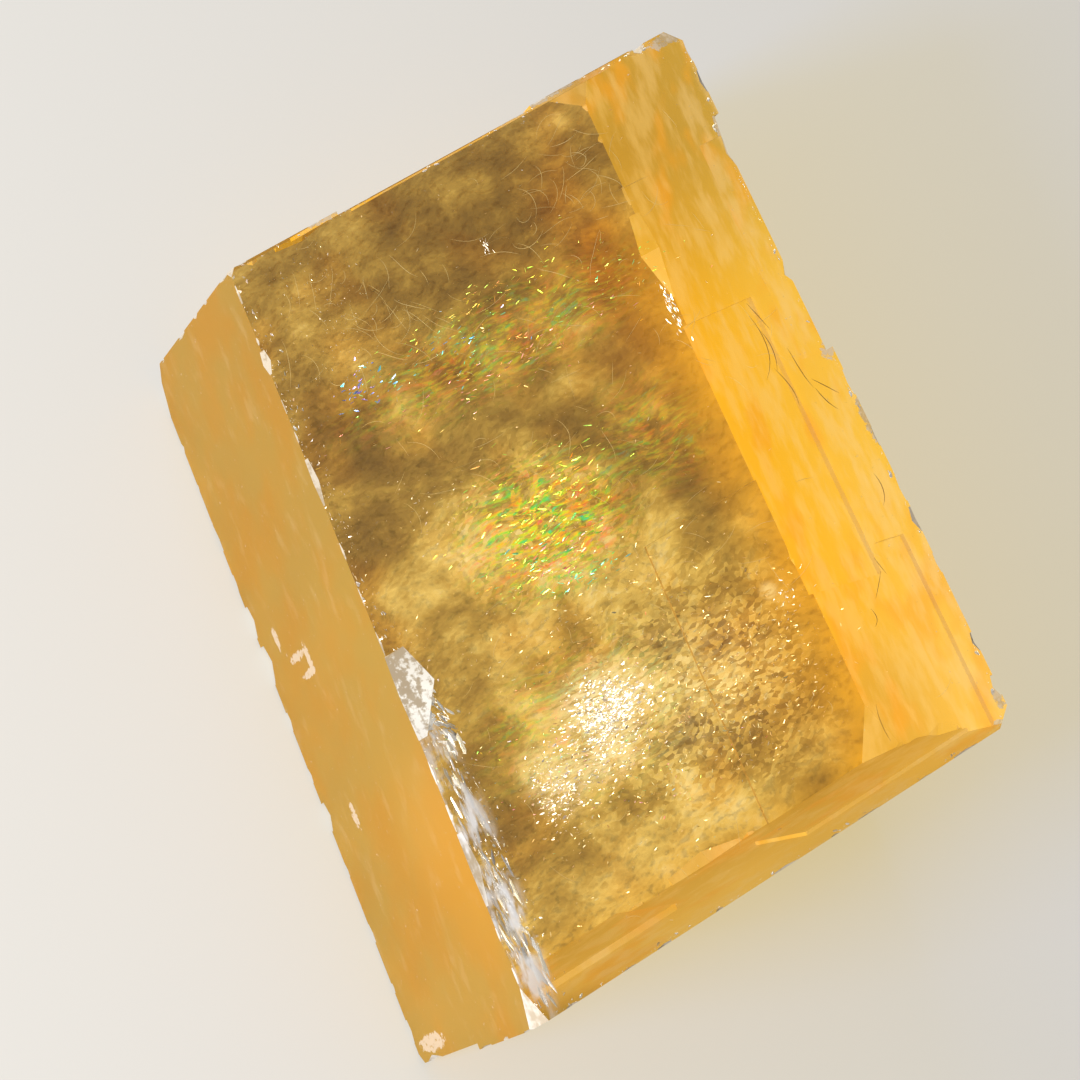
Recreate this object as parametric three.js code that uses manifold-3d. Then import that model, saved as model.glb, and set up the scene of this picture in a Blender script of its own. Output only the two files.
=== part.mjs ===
// A single honey-coloured calcite cleavage rhomb, lying on one of its cleavage faces.
// Millimetres, +Z up. The origin is on the surface it rests on, under the middle of its box.
// The long edges run along Y, and the west side slopes outwards to the base.

import * as THREE from "three";
import { ConvexGeometry } from "three/addons/geometries/ConvexGeometry.js";
import { mergeVertices } from "three/addons/utils/BufferGeometryUtils.js";
import Module from "manifold-3d";

// Size of the whole crystal. Every cleavage face of calcite has the same blunt plane angle.
const CLEAVAGE_ANGLE = THREE.MathUtils.degToRad(101.92);
const LONG_EDGE = 78;
const SHORT_EDGE = 51.6;
const LEAN_EDGE = 29;

// How far a cutter reaches outside the crystal, as a share of its own size and in millimetres
const OVERREACH = 0.5;
const CLEARANCE = 2;

// Small nicks along every edge, finer on the edges that stayed clean
const NICK_SEED = 41;
const NICK_SPACING = 5.5;
const NICK_PLACE = [0.2, 0.8];
const NICK_LENGTH = [0.7, 2.8];
const NICK_WIDTH = [0.12, 0.5];
const NICK_TAPER = [0.1, 0.8];
const CLEAN_EDGE_SHARE = 0.4;
const CLEAN_EDGES = ["topWest", "topSouth", "topNorth"];

// Look of the crystal
const HONEY = { color: 0xd8a038, roughness: 0.25, metalness: 0, flatShading: true };

// A chip is widest at its middle, and has these shares of that width at its two ends
const CHIP_TAPERS = [0.55, 0.25];

// Axis numbers: across the crystal, along it, and down its slope
const SHORT = 0;
const LONG = 1;
const LEAN = 2;
const LENGTHS = [SHORT_EDGE, LONG_EDGE, LEAN_EDGE];

// Edge directions out of the blunt upper corner, each pair at the cleavage angle.
// The third one falls away from the line midway between the first two.
const shortWay = new THREE.Vector3(Math.sin(CLEAVAGE_ANGLE), -Math.cos(CLEAVAGE_ANGLE), 0);
const longWay = new THREE.Vector3(0, -1, 0);
const outShare = -Math.cos(CLEAVAGE_ANGLE) / Math.cos(CLEAVAGE_ANGLE / 2);
const leanWay = shortWay.clone().add(longWay).normalize().multiplyScalar(-outShare);
leanWay.z = -Math.sqrt(1 - outShare ** 2);
const AXES = [shortWay, longWay, leanWay];

// Each side is one axis at its start (0) or its end (1)
const SIDES = {
  base: [LEAN, 1],
  east: [SHORT, 1],
  north: [LONG, 0],
  south: [LONG, 1],
};

// Each edge runs along one axis from a corner, given by 0 or 1 on the three axes
const EDGES = {
  topWest: { along: LONG, from: [0, 0, 0] },
  topEast: { along: LONG, from: [1, 0, 0] },
  topNorth: { along: SHORT, from: [0, 0, 0] },
  topSouth: { along: SHORT, from: [0, 1, 0] },
  baseWest: { along: LONG, from: [0, 0, 1] },
  baseEast: { along: LONG, from: [1, 0, 1] },
  baseNorth: { along: SHORT, from: [0, 0, 1] },
  baseSouth: { along: SHORT, from: [0, 1, 1] },
  northWest: { along: LEAN, from: [0, 0, 0] },
  northEast: { along: LEAN, from: [1, 0, 0] },
  southWest: { along: LEAN, from: [0, 1, 0] },
  southEast: { along: LEAN, from: [1, 1, 0] },
};

// Cleavage ledges: a thin layer missing from part of a side.
// The two spans run along the side's own axes, in axis order, and may pass the edges.
const LEDGES = [
  { side: "north", depth: 0.4, spans: [[12, 34.2], [-CLEARANCE, 15]] },
  { side: "north", depth: 0.55, spans: [[24, SHORT_EDGE + CLEARANCE], [19, LEAN_EDGE + CLEARANCE]] },
  { side: "south", depth: 0.6, spans: [[-CLEARANCE, 21], [14, LEAN_EDGE + CLEARANCE]] },
  { side: "south", depth: 0.35, spans: [[33, SHORT_EDGE + CLEARANCE], [9, 21]] },
  { side: "east", depth: 0.7, spans: [[13, 38], [-CLEARANCE, 6]] },
  { side: "east", depth: 0.45, spans: [[30, 61], [12, LEAN_EDGE + CLEARANCE]] },
  { side: "east", depth: 0.4, spans: [[58, LONG_EDGE + CLEARANCE], [4, 10]] },
  { side: "base", depth: 0.4, spans: [[38, SHORT_EDGE + CLEARANCE], [48, LONG_EDGE + CLEARANCE]] },
];

// Corners broken off, by the distance from the corner along the short, long and lean edges
const CORNER_BREAKS = [
  { corner: [0, 0, 0], reach: [0.6, 0.8, 0.9] },
  { corner: [1, 0, 0], reach: [1.5, 1.9, 3.2] },
  { corner: [1, 1, 0], reach: [1.6, 1.5, 2.4] },
  { corner: [0, 1, 0], reach: [1.3, 3.8, 1.5] },
  { corner: [0, 0, 1], reach: [3.4, 3.2, 2.6] },
  { corner: [0, 0, 1], reach: [1.6, 5.6, 1.7] },
  { corner: [0, 1, 1], reach: [1.8, 1.6, 1.2] },
  { corner: [1, 0, 1], reach: [4.2, 3.1, 3.6] },
  { corner: [1, 1, 1], reach: [3.0, 5.2, 4.1] },
];

// Chips seen on the edges: place and length along the edge, and widths on the two other axes
const CHIPS = [
  { edge: "topWest", at: 10.4, length: 2.6, widths: [0.5, 0.9] },
  { edge: "topWest", at: 23.5, length: 5, widths: [0.45, 0.35] },
  { edge: "topWest", at: 46, length: 8.5, widths: [3.4, 0.45] },
  { edge: "topWest", at: 63, length: 7, widths: [0.8, 0.25] },
  { edge: "topEast", at: 15, length: 8.5, widths: [1, 3.2] },
  { edge: "topEast", at: 23, length: 9, widths: [0.65, 2.4] },
  { edge: "topEast", at: 29.2, length: 3.4, widths: [1.15, 2.8] },
  { edge: "topEast", at: 34.2, length: 5.5, widths: [0.7, 2] },
  { edge: "topEast", at: 74.4, length: 2, widths: [0.5, 1] },
  { edge: "topNorth", at: 47, length: 1.3, widths: [0.9, 1.4] },
  { edge: "southWest", at: 25.8, length: 5, widths: [1.7, 1.1] },
  { edge: "baseWest", at: 29.8, length: 3.5, widths: [0.5, 1.1] },
  { edge: "baseWest", at: 34.6, length: 4, widths: [0.6, 1.6] },
  { edge: "baseWest", at: 51.5, length: 3, widths: [0.5, 1.2] },
  { edge: "baseEast", at: 21, length: 9, widths: [1.4, 1.9] },
  { edge: "baseEast", at: 57, length: 6, widths: [0.9, 1.3] },
  { edge: "northEast", at: 12, length: 5, widths: [1, 0.8] },
  { edge: "southEast", at: 15, length: 7, widths: [0.9, 1.3] },
  { edge: "baseNorth", at: 18, length: 6, widths: [0.8, 1.2] },
  { edge: "baseSouth", at: 31, length: 8, widths: [1.2, 0.9] },
];

const wasm = await Module();
wasm.setup();

// A point by its distances along the three axes from the blunt upper corner
function pointAt(distances) {
  const point = new THREE.Vector3();
  distances.forEach((distance, axis) => point.addScaledVector(AXES[axis], distance));
  return point;
}

// A corner of the whole rhomb, from 0 or 1 on each axis
function cornerPoint(corner) {
  return pointAt(corner.map((end, axis) => end * LENGTHS[axis]));
}

// The direction along an axis that leads from a corner into the crystal
function inward(corner, axis) {
  return AXES[axis].clone().multiplyScalar(corner[axis] === 0 ? 1 : -1);
}

// The two axes along which an edge's two faces open
function otherAxes(axis) {
  return [SHORT, LONG, LEAN].filter((other) => other !== axis);
}

function toSolid(geometry) {
  geometry.deleteAttribute("normal");
  geometry.deleteAttribute("uv");
  const merged = mergeVertices(geometry);
  const vertProperties = new Float32Array(merged.attributes.position.array);
  const triVerts = new Uint32Array(merged.index.array);
  return new wasm.Manifold(new wasm.Mesh({ numProp: 3, vertProperties, triVerts }));
}

function toGeometry(solid) {
  const mesh = solid.getMesh();
  const geometry = new THREE.BufferGeometry();
  geometry.setAttribute("position", new THREE.BufferAttribute(mesh.vertProperties, 3));
  geometry.setIndex(new THREE.BufferAttribute(mesh.triVerts, 1));
  return geometry;
}

// A block with faces parallel to the cleavage, between two distances on each axis
function cleavageBlock(spans) {
  const sizes = spans.map(([low, high]) => high - low);
  const middles = spans.map(([low, high]) => (low + high) / 2);
  const block = new THREE.BoxGeometry(...sizes);
  block.applyMatrix4(new THREE.Matrix4().makeBasis(...AXES));
  block.translate(...pointAt(middles));
  return toSolid(block);
}

function ledgeCutter({ side, depth, spans }) {
  const [axis, end] = SIDES[side];
  const skin = end === 0 ? [-CLEARANCE, depth] : [LENGTHS[axis] - depth, LENGTHS[axis] + CLEARANCE];
  const block = [...spans];
  block.splice(axis, 0, skin);
  return cleavageBlock(block);
}

// A flat break through three points, one on each edge of a corner, with the tip beyond it
function cornerCutter({ corner, reach }) {
  const legs = reach.map((distance, axis) => inward(corner, axis).multiplyScalar(distance));
  const tip = cornerPoint(corner);
  legs.forEach((leg) => tip.addScaledVector(leg, -OVERREACH));
  const stretch = 1 + 3 * OVERREACH;
  const feet = legs.map((leg) => tip.clone().addScaledVector(leg, stretch));
  return toSolid(new ConvexGeometry([tip, ...feet]));
}

// A wedge along an edge, as wide as stated on each face at its middle and narrower at its ends
function chipCutter({ edge, at, length, widths, tapers = CHIP_TAPERS }) {
  const { along, from } = EDGES[edge];
  const directions = otherAxes(along).map((axis) => inward(from, axis));
  const stations = [[-0.5, tapers[0]], [0, 1], [0.5, tapers[1]]];
  const section = [[-OVERREACH, -OVERREACH], [1 + OVERREACH, -OVERREACH], [-OVERREACH, 1 + OVERREACH]];
  const points = [];
  for (const [share, taper] of stations) {
    const base = cornerPoint(from).addScaledVector(AXES[along], at + share * length);
    for (const reaches of section) {
      const point = base.clone();
      reaches.forEach((reach, side) => point.addScaledVector(directions[side], reach * widths[side] * taper));
      points.push(point);
    }
  }
  return toSolid(new ConvexGeometry(points));
}

// Random nicks along every edge, one in each step of the spacing
function edgeNicks() {
  THREE.MathUtils.seededRandom(NICK_SEED);
  const between = ([low, high]) => THREE.MathUtils.lerp(low, high, THREE.MathUtils.seededRandom());
  const nicks = [];
  for (const [edge, { along }] of Object.entries(EDGES)) {
    const share = CLEAN_EDGES.includes(edge) ? CLEAN_EDGE_SHARE : 1;
    const steps = Math.floor(LENGTHS[along] / NICK_SPACING);
    for (let step = 0; step < steps; step += 1) {
      const at = (step + between(NICK_PLACE)) * NICK_SPACING;
      const length = between(NICK_LENGTH);
      const widths = [share * between(NICK_WIDTH), share * between(NICK_WIDTH)];
      nicks.push({ edge, at, length, widths, tapers: [between(NICK_TAPER), between(NICK_TAPER)] });
    }
  }
  return nicks;
}

// The whole rhomb, less its ledges, broken corners, chips and nicks
function calciteRhomb() {
  const cutters = [
    ...LEDGES.map(ledgeCutter),
    ...CORNER_BREAKS.map(cornerCutter),
    ...[...CHIPS, ...edgeNicks()].map(chipCutter),
  ];
  const whole = cleavageBlock(LENGTHS.map((length) => [0, length]));
  const geometry = toGeometry(cutters.reduce((solid, cutter) => solid.subtract(cutter), whole));
  geometry.computeBoundingBox();
  const box = geometry.boundingBox;
  const middle = box.getCenter(new THREE.Vector3());
  geometry.translate(-middle.x, -middle.y, -box.min.z);
  geometry.computeVertexNormals();
  const mesh = new THREE.Mesh(geometry, new THREE.MeshStandardMaterial(HONEY));
  mesh.name = "calcite_rhomb";
  return mesh;
}

const crystal = new THREE.Group();
crystal.add(calciteRhomb());

export default crystal;
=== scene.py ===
"""Honey calcite cleavage rhomb: a clear golden crystal with waxy sides, chipped edges and rainbow cracks inside."""

import json
import logging
import math
from collections.abc import Mapping, Sequence
from dataclasses import dataclass, replace
from enum import Enum
from typing import Any

import bmesh
import bpy
import numpy as np
from mathutils import Matrix, Vector
from mathutils.bvhtree import BVHTree


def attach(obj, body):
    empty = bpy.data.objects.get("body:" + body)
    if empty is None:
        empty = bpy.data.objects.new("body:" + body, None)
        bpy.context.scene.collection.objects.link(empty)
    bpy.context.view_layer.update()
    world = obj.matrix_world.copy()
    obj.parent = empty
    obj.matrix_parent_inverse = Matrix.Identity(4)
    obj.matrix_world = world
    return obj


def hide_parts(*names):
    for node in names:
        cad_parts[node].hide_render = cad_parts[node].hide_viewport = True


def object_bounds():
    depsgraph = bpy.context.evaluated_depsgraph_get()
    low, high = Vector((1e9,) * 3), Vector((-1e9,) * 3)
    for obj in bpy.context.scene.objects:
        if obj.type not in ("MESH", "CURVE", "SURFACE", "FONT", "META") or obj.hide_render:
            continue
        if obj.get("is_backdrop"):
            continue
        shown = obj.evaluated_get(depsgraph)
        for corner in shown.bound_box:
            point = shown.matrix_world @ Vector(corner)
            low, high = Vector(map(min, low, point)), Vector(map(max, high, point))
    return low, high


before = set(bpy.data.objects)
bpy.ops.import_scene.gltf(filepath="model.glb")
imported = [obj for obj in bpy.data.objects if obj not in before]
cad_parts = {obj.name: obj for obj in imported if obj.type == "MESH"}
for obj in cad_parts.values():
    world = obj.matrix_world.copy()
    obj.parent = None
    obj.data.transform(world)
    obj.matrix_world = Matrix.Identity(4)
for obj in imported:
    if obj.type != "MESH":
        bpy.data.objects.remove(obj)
CAD_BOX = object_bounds()

LOG = logging.getLogger("calcite_rhomb")
MM = 0.001
BODY = "root"
NODE = "calcite_rhomb"
UP = Vector((0.0, 0.0, 1.0))
GLINT = Vector((-0.544, -0.189, 0.817))
Colour = tuple[float, float, float]
Stops = tuple[tuple[float, Colour], ...]
Stretch = tuple[float, float, float]


class Wire:
    """A node's output that takes part in Python arithmetic, each operator adding one Math node."""

    def __init__(self, sheet: "NodeSheet", socket: bpy.types.NodeSocket) -> None:
        """Keep the output and the sheet that it belongs to."""
        self.sheet = sheet
        self.socket = socket

    def _math(self, operation: str, *terms: Any) -> "Wire":
        """Add a Math node for these terms."""
        return self.sheet.place("ShaderNodeMath", {"operation": operation}, dict(enumerate(terms)))[0]

    def __add__(self, other: Any) -> "Wire":
        """Sum."""
        return self._math("ADD", self, other)

    def __radd__(self, other: Any) -> "Wire":
        """Sum with a number on the left."""
        return self._math("ADD", other, self)

    def __sub__(self, other: Any) -> "Wire":
        """Difference."""
        return self._math("SUBTRACT", self, other)

    def __rsub__(self, other: Any) -> "Wire":
        """Difference with a number on the left."""
        return self._math("SUBTRACT", other, self)

    def __mul__(self, other: Any) -> "Wire":
        """Product."""
        return self._math("MULTIPLY", self, other)

    def __rmul__(self, other: Any) -> "Wire":
        """Product with a number on the left."""
        return self._math("MULTIPLY", other, self)

    def clamped(self) -> "Wire":
        """This value held between 0 and 1."""
        return self.sheet.place("ShaderNodeClamp", {}, {"Value": self})[0]

    def between(self, low: float, high: float) -> "Wire":
        """Rise smoothly from 0 at low to 1 at high.

        Args:
            low: value that gives 0.
            high: value that gives 1; it may be the smaller, for a fall.

        Returns:
            The eased value.
        """
        settings = {"interpolation_type": "SMOOTHSTEP"}
        return self.sheet.place("ShaderNodeMapRange", settings, {"Value": self, 1: low, 2: high})[0]


class Step:
    """A placed node; indexing it by an output's name or number gives that output as a wire."""

    def __init__(self, sheet: "NodeSheet", node: bpy.types.Node) -> None:
        """Keep the node and its sheet."""
        self.sheet = sheet
        self.node = node

    def __getitem__(self, key: int | str) -> Wire:
        """One output of the node."""
        return Wire(self.sheet, self.node.outputs[key])


class NodeSheet:
    """A node tree that is filled by one method."""

    def __init__(self, tree: bpy.types.NodeTree) -> None:
        """Keep the tree."""
        self.tree = tree

    def place(self, kind: str, settings: Mapping[str, Any], inputs: Mapping[int | str, Any]) -> Step:
        """Add one node.

        Args:
            kind: Blender's name of the node's type.
            settings: the node's own properties, set first; "stops" are a colour ramp's stops.
            inputs: a value or a wire for each socket, by name or number.

        Returns:
            The node, ready to be indexed by its outputs.
        """
        node = self.tree.nodes.new(kind)
        for name, value in settings.items():
            if name == "stops":
                self._set_stops(node.color_ramp, value)
            else:
                setattr(node, name, value)
        for key, value in inputs.items():
            for term in value if isinstance(value, list) else [value]:
                self._feed(node.inputs[key], term)
        return Step(self, node)

    def _feed(self, socket: bpy.types.NodeSocket, value: Any) -> None:
        """Link a wire to a socket, or set the socket's own value.

        Args:
            socket: the input to feed.
            value: a wire or a plain value.
        """
        if isinstance(value, Wire):
            self.tree.links.new(value.socket, socket)
        else:
            socket.default_value = value

    @staticmethod
    def _set_stops(ramp: bpy.types.ColorRamp, stops: Stops) -> None:
        """Give a colour ramp its stops.

        Args:
            ramp: the ramp.
            stops: a place from 0 to 1 and a colour for each stop.
        """
        while len(ramp.elements) < len(stops):
            ramp.elements.new(1.0)
        for element, (place, colour) in zip(ramp.elements, stops):
            element.position = place
            element.color = (*colour, 1.0)

    def blend(self, factor: Any, first: Any, second: Any) -> Wire:
        """Mix two colours.

        Args:
            factor: share of the second colour.
            first: colour or wire at 0.
            second: colour or wire at 1.

        Returns:
            The mixed colour.
        """
        inputs = {0: factor, 6: rgba(first), 7: rgba(second)}
        return self.place("ShaderNodeMix", {"data_type": "RGBA"}, inputs)[2]

    def attribute(self, name: str) -> Wire:
        """The number that the mesh holds under this name."""
        return self.place("ShaderNodeAttribute", {"attribute_name": name}, {})["Fac"]

    def where(self) -> Wire:
        """Object coordinates, in metres."""
        return self.place("ShaderNodeTexCoord", {}, {})["Object"]

    def ramp(self, stops: Stops, value: Wire) -> Wire:
        """The colour that these stops give for a value."""
        return self.place("ShaderNodeValToRGB", {"stops": stops}, {"Fac": value})["Color"]

    def principled(self, inputs: Mapping[str, Any]) -> Wire:
        """A Principled surface with these inputs."""
        return self.place("ShaderNodeBsdfPrincipled", {}, inputs)["BSDF"]

    def merge(self, factor: Wire, first: Wire, second: Wire) -> Wire:
        """Mix two surfaces, with the factor as the share of the second."""
        return self.place("ShaderNodeMixShader", {}, {0: factor, 1: first, 2: second})[0]

    def lamp_through(self, body: Wire, tint: Colour) -> Wire:
        """Let the lamps shine through a surface.

        Args:
            body: the surface as it is seen.
            tint: colour of the light that has passed.

        Returns:
            The surface, which now casts only a pale shadow.
        """
        lamp_ray = self.place("ShaderNodeLightPath", {}, {})["Is Shadow Ray"]
        through = self.place("ShaderNodeBsdfTransparent", {}, {"Color": rgba(tint)})[0]
        return self.merge(lamp_ray, body, through)

    def output(self, sockets: Mapping[str, Wire]) -> None:
        """Send a surface, and a volume where there is one, to the material's output."""
        self.place("ShaderNodeOutputMaterial", {}, sockets)

    def mapped(self, vector: Wire, turn: float, stretch: Sequence[float]) -> Wire:
        """Turn coordinates about Z, then scale them.

        Args:
            vector: coordinates to map.
            turn: angle in radians.
            stretch: scale on the three turned axes.

        Returns:
            The mapped coordinates.
        """
        turned = self.place("ShaderNodeMapping", {}, {"Vector": vector, "Rotation": (0.0, 0.0, turn)})["Vector"]
        return self.place("ShaderNodeMapping", {}, {"Vector": turned, "Scale": tuple(stretch)})["Vector"]


def rgba(colour: Any) -> Any:
    """A colour with its alpha added, or a wire as it is."""
    return colour if isinstance(colour, Wire) else (*colour, 1.0)


def new_material(name: str) -> tuple[bpy.types.Material, NodeSheet]:
    """Make an empty node material.

    Args:
        name: the material's name.

    Returns:
        The material and the sheet of its nodes.
    """
    material = bpy.data.materials.new(name)
    material.use_nodes = True
    material.node_tree.nodes.clear()
    return material, NodeSheet(material.node_tree)


def new_object(name: str, mesh: bpy.types.Mesh) -> bpy.types.Object:
    """Make an object of a mesh and link it to the scene.

    Args:
        name: the object's name.
        mesh: its mesh.

    Returns:
        The object.
    """
    thing = bpy.data.objects.new(name, mesh)
    bpy.context.scene.collection.objects.link(thing)
    return thing


@dataclass(frozen=True)
class Mottle:
    """A fractal noise: the width of its largest features, its finer octaves, and how strong each of them is."""

    size: float
    octaves: float
    roughness: float = 0.55

    def wire(self, sheet: NodeSheet, place: Wire) -> Wire:
        """Add the noise to a material.

        Args:
            sheet: the material's nodes.
            place: coordinates in metres.

        Returns:
            The noise, from 0 to 1.
        """
        inputs = {"Vector": place, "Scale": 1 / self.size, "Detail": self.octaves, "Roughness": self.roughness}
        return sheet.place("ShaderNodeTexNoise", {}, inputs)["Fac"]


@dataclass(frozen=True)
class Rise:
    """How strongly something shows, from none where a value is at low to its full share where it is at high."""

    low: float
    high: float
    share: float = 1.0

    def wire(self, value: Wire) -> Wire:
        """The strength for this value."""
        eased = value.between(self.low, self.high)
        return eased if self.share == 1.0 else eased * self.share


@dataclass(frozen=True)
class PlainFinish:
    """An even, opaque finish."""

    name: str
    colour: Colour
    roughness: float

    def build(self) -> bpy.types.Material:
        """Make the material.

        Returns:
            The finished material.
        """
        material, sheet = new_material(self.name)
        matt = sheet.principled({"Base Color": rgba(self.colour), "Roughness": self.roughness})
        sheet.output({"Surface": matt})
        return material


@dataclass(frozen=True)
class CleavageFrame:
    """The rhomb's blunt upper corner, its three edge directions and the outward normals of its faces."""

    corner: Vector
    short_way: Vector
    long_way: Vector
    lean_way: Vector
    plane_angle: float = math.radians(101.92)
    short_edge: float = 51.6 * MM
    long_edge: float = 78 * MM
    seen_slip: float = 0.259
    seen_way: tuple[float, float] = (0.479, 0.878)

    @classmethod
    def of_mesh(cls, mesh: bpy.types.Mesh) -> "CleavageFrame":
        """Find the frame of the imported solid.

        Args:
            mesh: the solid's mesh, resting on its lower face.

        Returns:
            The frame, with its corner where the upper, west and north faces would meet.
        """
        angle = cls.plane_angle
        short_way = Vector((math.sin(angle), -math.cos(angle), 0.0))
        long_way = Vector((0.0, -1.0, 0.0))
        out = -math.cos(angle) / math.cos(angle / 2)
        lean_way = -out * (short_way + long_way).normalized()
        lean_way.z = -math.sqrt(1 - out * out)
        points = np.array([vertex.co for vertex in mesh.vertices])
        normals = np.array([Vector((0, 0, 1)), lean_way.cross(long_way), short_way.cross(lean_way)])
        corner = np.linalg.solve(normals, (points @ normals.T).max(axis=0))
        return cls(Vector(corner), short_way, long_way, lean_way)

    def at(self, short: float, long: float, lean: float) -> Vector:
        """The point at these distances along the three edges, in metres."""
        return self.corner + short * self.short_way + long * self.long_way + lean * self.lean_way

    def seen(self, short: float, long: float, depth: float) -> Vector:
        """The point that shows through the upper face at these distances, and lies this far below it, in metres."""
        slip = Vector((*self.seen_way, 0)) * self.seen_slip - UP
        return self.at(short, long, 0) + slip * depth

    def side_depth(self, point: Vector) -> float:
        """How far a point lies from the nearest of the four side faces, along an edge."""
        short, long = (row.dot(point - self.corner) for row in self.rows()[:2])
        return min(short, self.short_edge - short, long, self.long_edge - long)

    def rows(self) -> list[Vector]:
        """The vectors that give a point's distances along the three edges as dot products."""
        basis = Matrix((self.short_way, self.long_way, self.lean_way)).transposed()
        return [row.copy() for row in basis.inverted()]

    def along_wire(self, sheet: NodeSheet, place: Wire, axis: int) -> Wire:
        """Distance along one of the edges.

        Args:
            sheet: a material's nodes.
            place: object coordinates.
            axis: 0 for the short edge, 1 for the long edge, 2 for the leaning edge.

        Returns:
            The distance from the corner, in metres.
        """
        row = self.rows()[axis]
        dot = sheet.place("ShaderNodeVectorMath", {"operation": "DOT_PRODUCT"}, {0: place, 1: row})["Value"]
        return dot - row.dot(self.corner)

    def side_normals(self) -> list[Vector]:
        """The normals of the west and north faces, each of which is also that of the face across from it."""
        return [self.lean_way.cross(self.long_way).normalized(), self.short_way.cross(self.lean_way).normalized()]


@dataclass(frozen=True)
class PhotoCamera:
    """The camera that saw the crystal, placed from its blunt upper corner."""

    heading: float = math.radians(28.63)
    pitch: float = math.radians(66.40)
    roll: float = math.radians(7.34)
    lens_mm: float = 98.29
    sensor_mm: float = 36.0
    place: Vector = Vector((-34.36, -130.53, 246.30)) * MM
    clip: tuple[float, float] = (10 * MM, 10.0)

    def axes(self) -> tuple[Vector, Vector, Vector]:
        """Work out which way the camera points.

        Returns:
            Its right, up and forward directions.
        """
        flat = math.cos(self.pitch)
        forward = Vector((math.sin(self.heading) * flat, math.cos(self.heading) * flat, -math.sin(self.pitch)))
        level = Vector((math.cos(self.heading), -math.sin(self.heading), 0.0))
        rise = level.cross(forward)
        right = math.cos(self.roll) * level + math.sin(self.roll) * rise
        return right, right.cross(forward), forward

    def build(self, cleavage: CleavageFrame) -> None:
        """Add the camera to the scene.

        Args:
            cleavage: the frame of the crystal that it looks at.
        """
        data = bpy.data.cameras.new("photo_camera")
        data.sensor_width = self.sensor_mm
        data.lens = self.lens_mm
        data.clip_start, data.clip_end = self.clip
        camera = bpy.data.objects.new("photo_camera", data)
        right, up, forward = self.axes()
        turn = Matrix((right, up, -forward)).transposed().to_4x4()
        camera.matrix_world = Matrix.Translation(cleavage.corner + self.place) @ turn
        bpy.context.scene.collection.objects.link(camera)
        bpy.context.scene.camera = camera


@dataclass(frozen=True)
class SoftLamp:
    """One square softbox aimed at the crystal."""

    name: str
    azimuth: float
    elevation: float
    distance: float
    size: float
    watts: float
    colour: Colour

    def build(self, target: Vector) -> None:
        """Add the lamp.

        Args:
            target: the point it shines on.
        """
        data = bpy.data.lights.new(self.name, "AREA")
        data.shape = "SQUARE"
        data.size = self.size
        data.energy = self.watts
        data.color = self.colour
        lamp = bpy.data.objects.new(self.name, data)
        flat = math.cos(math.radians(self.elevation))
        azimuth = math.radians(self.azimuth)
        rise = math.sin(math.radians(self.elevation))
        away = Vector((math.sin(azimuth) * flat, math.cos(azimuth) * flat, rise))
        lamp.location = target + away * self.distance
        lamp.rotation_euler = away.to_track_quat("Z", "Y").to_euler()
        bpy.context.scene.collection.objects.link(lamp)


@dataclass(frozen=True)
class Studio:
    """The pale floor, the soft lamps and the even light all round."""

    floor_half: float = 3.0
    floor_drop: float = 0.15 * MM
    floor_finish: PlainFinish = PlainFinish("pale_floor", (0.64, 0.63, 0.61), 0.9)
    sky: Colour = (0.92, 0.95, 1.0)
    sky_strength: float = 0.22
    lamps: tuple[SoftLamp, ...] = (
        SoftLamp("key_softbox", -98.0, 30.0, 0.75, 0.22, 8.0, (1.0, 0.97, 0.92)),
        SoftLamp("back_softbox", 8.0, 30.0, 0.80, 0.35, 3.1, (1.0, 0.99, 0.97)),
    )
    light_path: tuple[tuple[str, int], ...] = (
        ("caustics_refractive", False), ("caustics_reflective", False), ("max_bounces", 3), ("diffuse_bounces", 1),
        ("glossy_bounces", 1), ("transmission_bounces", 3), ("transparent_max_bounces", 4),
    )

    def build(self) -> None:
        """Add the floor, the lamps and the world."""
        self._add_floor()
        for lamp in self.lamps:
            lamp.build(Vector((0.0, 0.0, CAD_BOX[1].z / 2)))
        world = bpy.data.worlds.new("even_light")
        world.use_nodes = True
        background = world.node_tree.nodes["Background"]
        background.inputs["Color"].default_value = (*self.sky, 1.0)
        background.inputs["Strength"].default_value = self.sky_strength
        scene = bpy.context.scene
        scene.world = world
        scene.view_settings.view_transform = "Standard"
        for setting, value in self.light_path:
            setattr(scene.cycles, setting, value)

    def _add_floor(self) -> None:
        """Add the floor just under the resting face."""
        half = self.floor_half
        corners = [(-half, -half), (half, -half), (half, half), (-half, half)]
        mesh = bpy.data.meshes.new("floor")
        mesh.from_pydata([(*corner, -self.floor_drop) for corner in corners], [], [(0, 1, 2, 3)])
        mesh.materials.append(self.floor_finish.build())
        new_object("floor", mesh)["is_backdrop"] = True


class FaceKind(Enum):
    """What a face of the crystal is; sides, breaks and hidden steps are marked by mesh attributes of these names."""

    TOP = "top_face"
    SIDE = "waxy_side"
    BASE = "resting_face"
    BREAK = "fresh_break"
    STEP = "hidden_step"


SHADOW_TINT: Colour = (0.98, 0.95, 0.85)
SPECTRUM: Stops = (
    (0.00, (0.30, 0.16, 0.95)), (0.16, (0.12, 0.42, 1.0)), (0.30, (0.10, 0.86, 0.80)),
    (0.44, (0.16, 0.90, 0.14)), (0.56, (0.74, 0.95, 0.06)), (0.70, (1.0, 0.68, 0.05)),
    (0.84, (1.0, 0.24, 0.06)), (1.00, (0.95, 0.26, 0.50)),
)
OVAL_FADE = Rise(1.0, 0.1)


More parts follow.
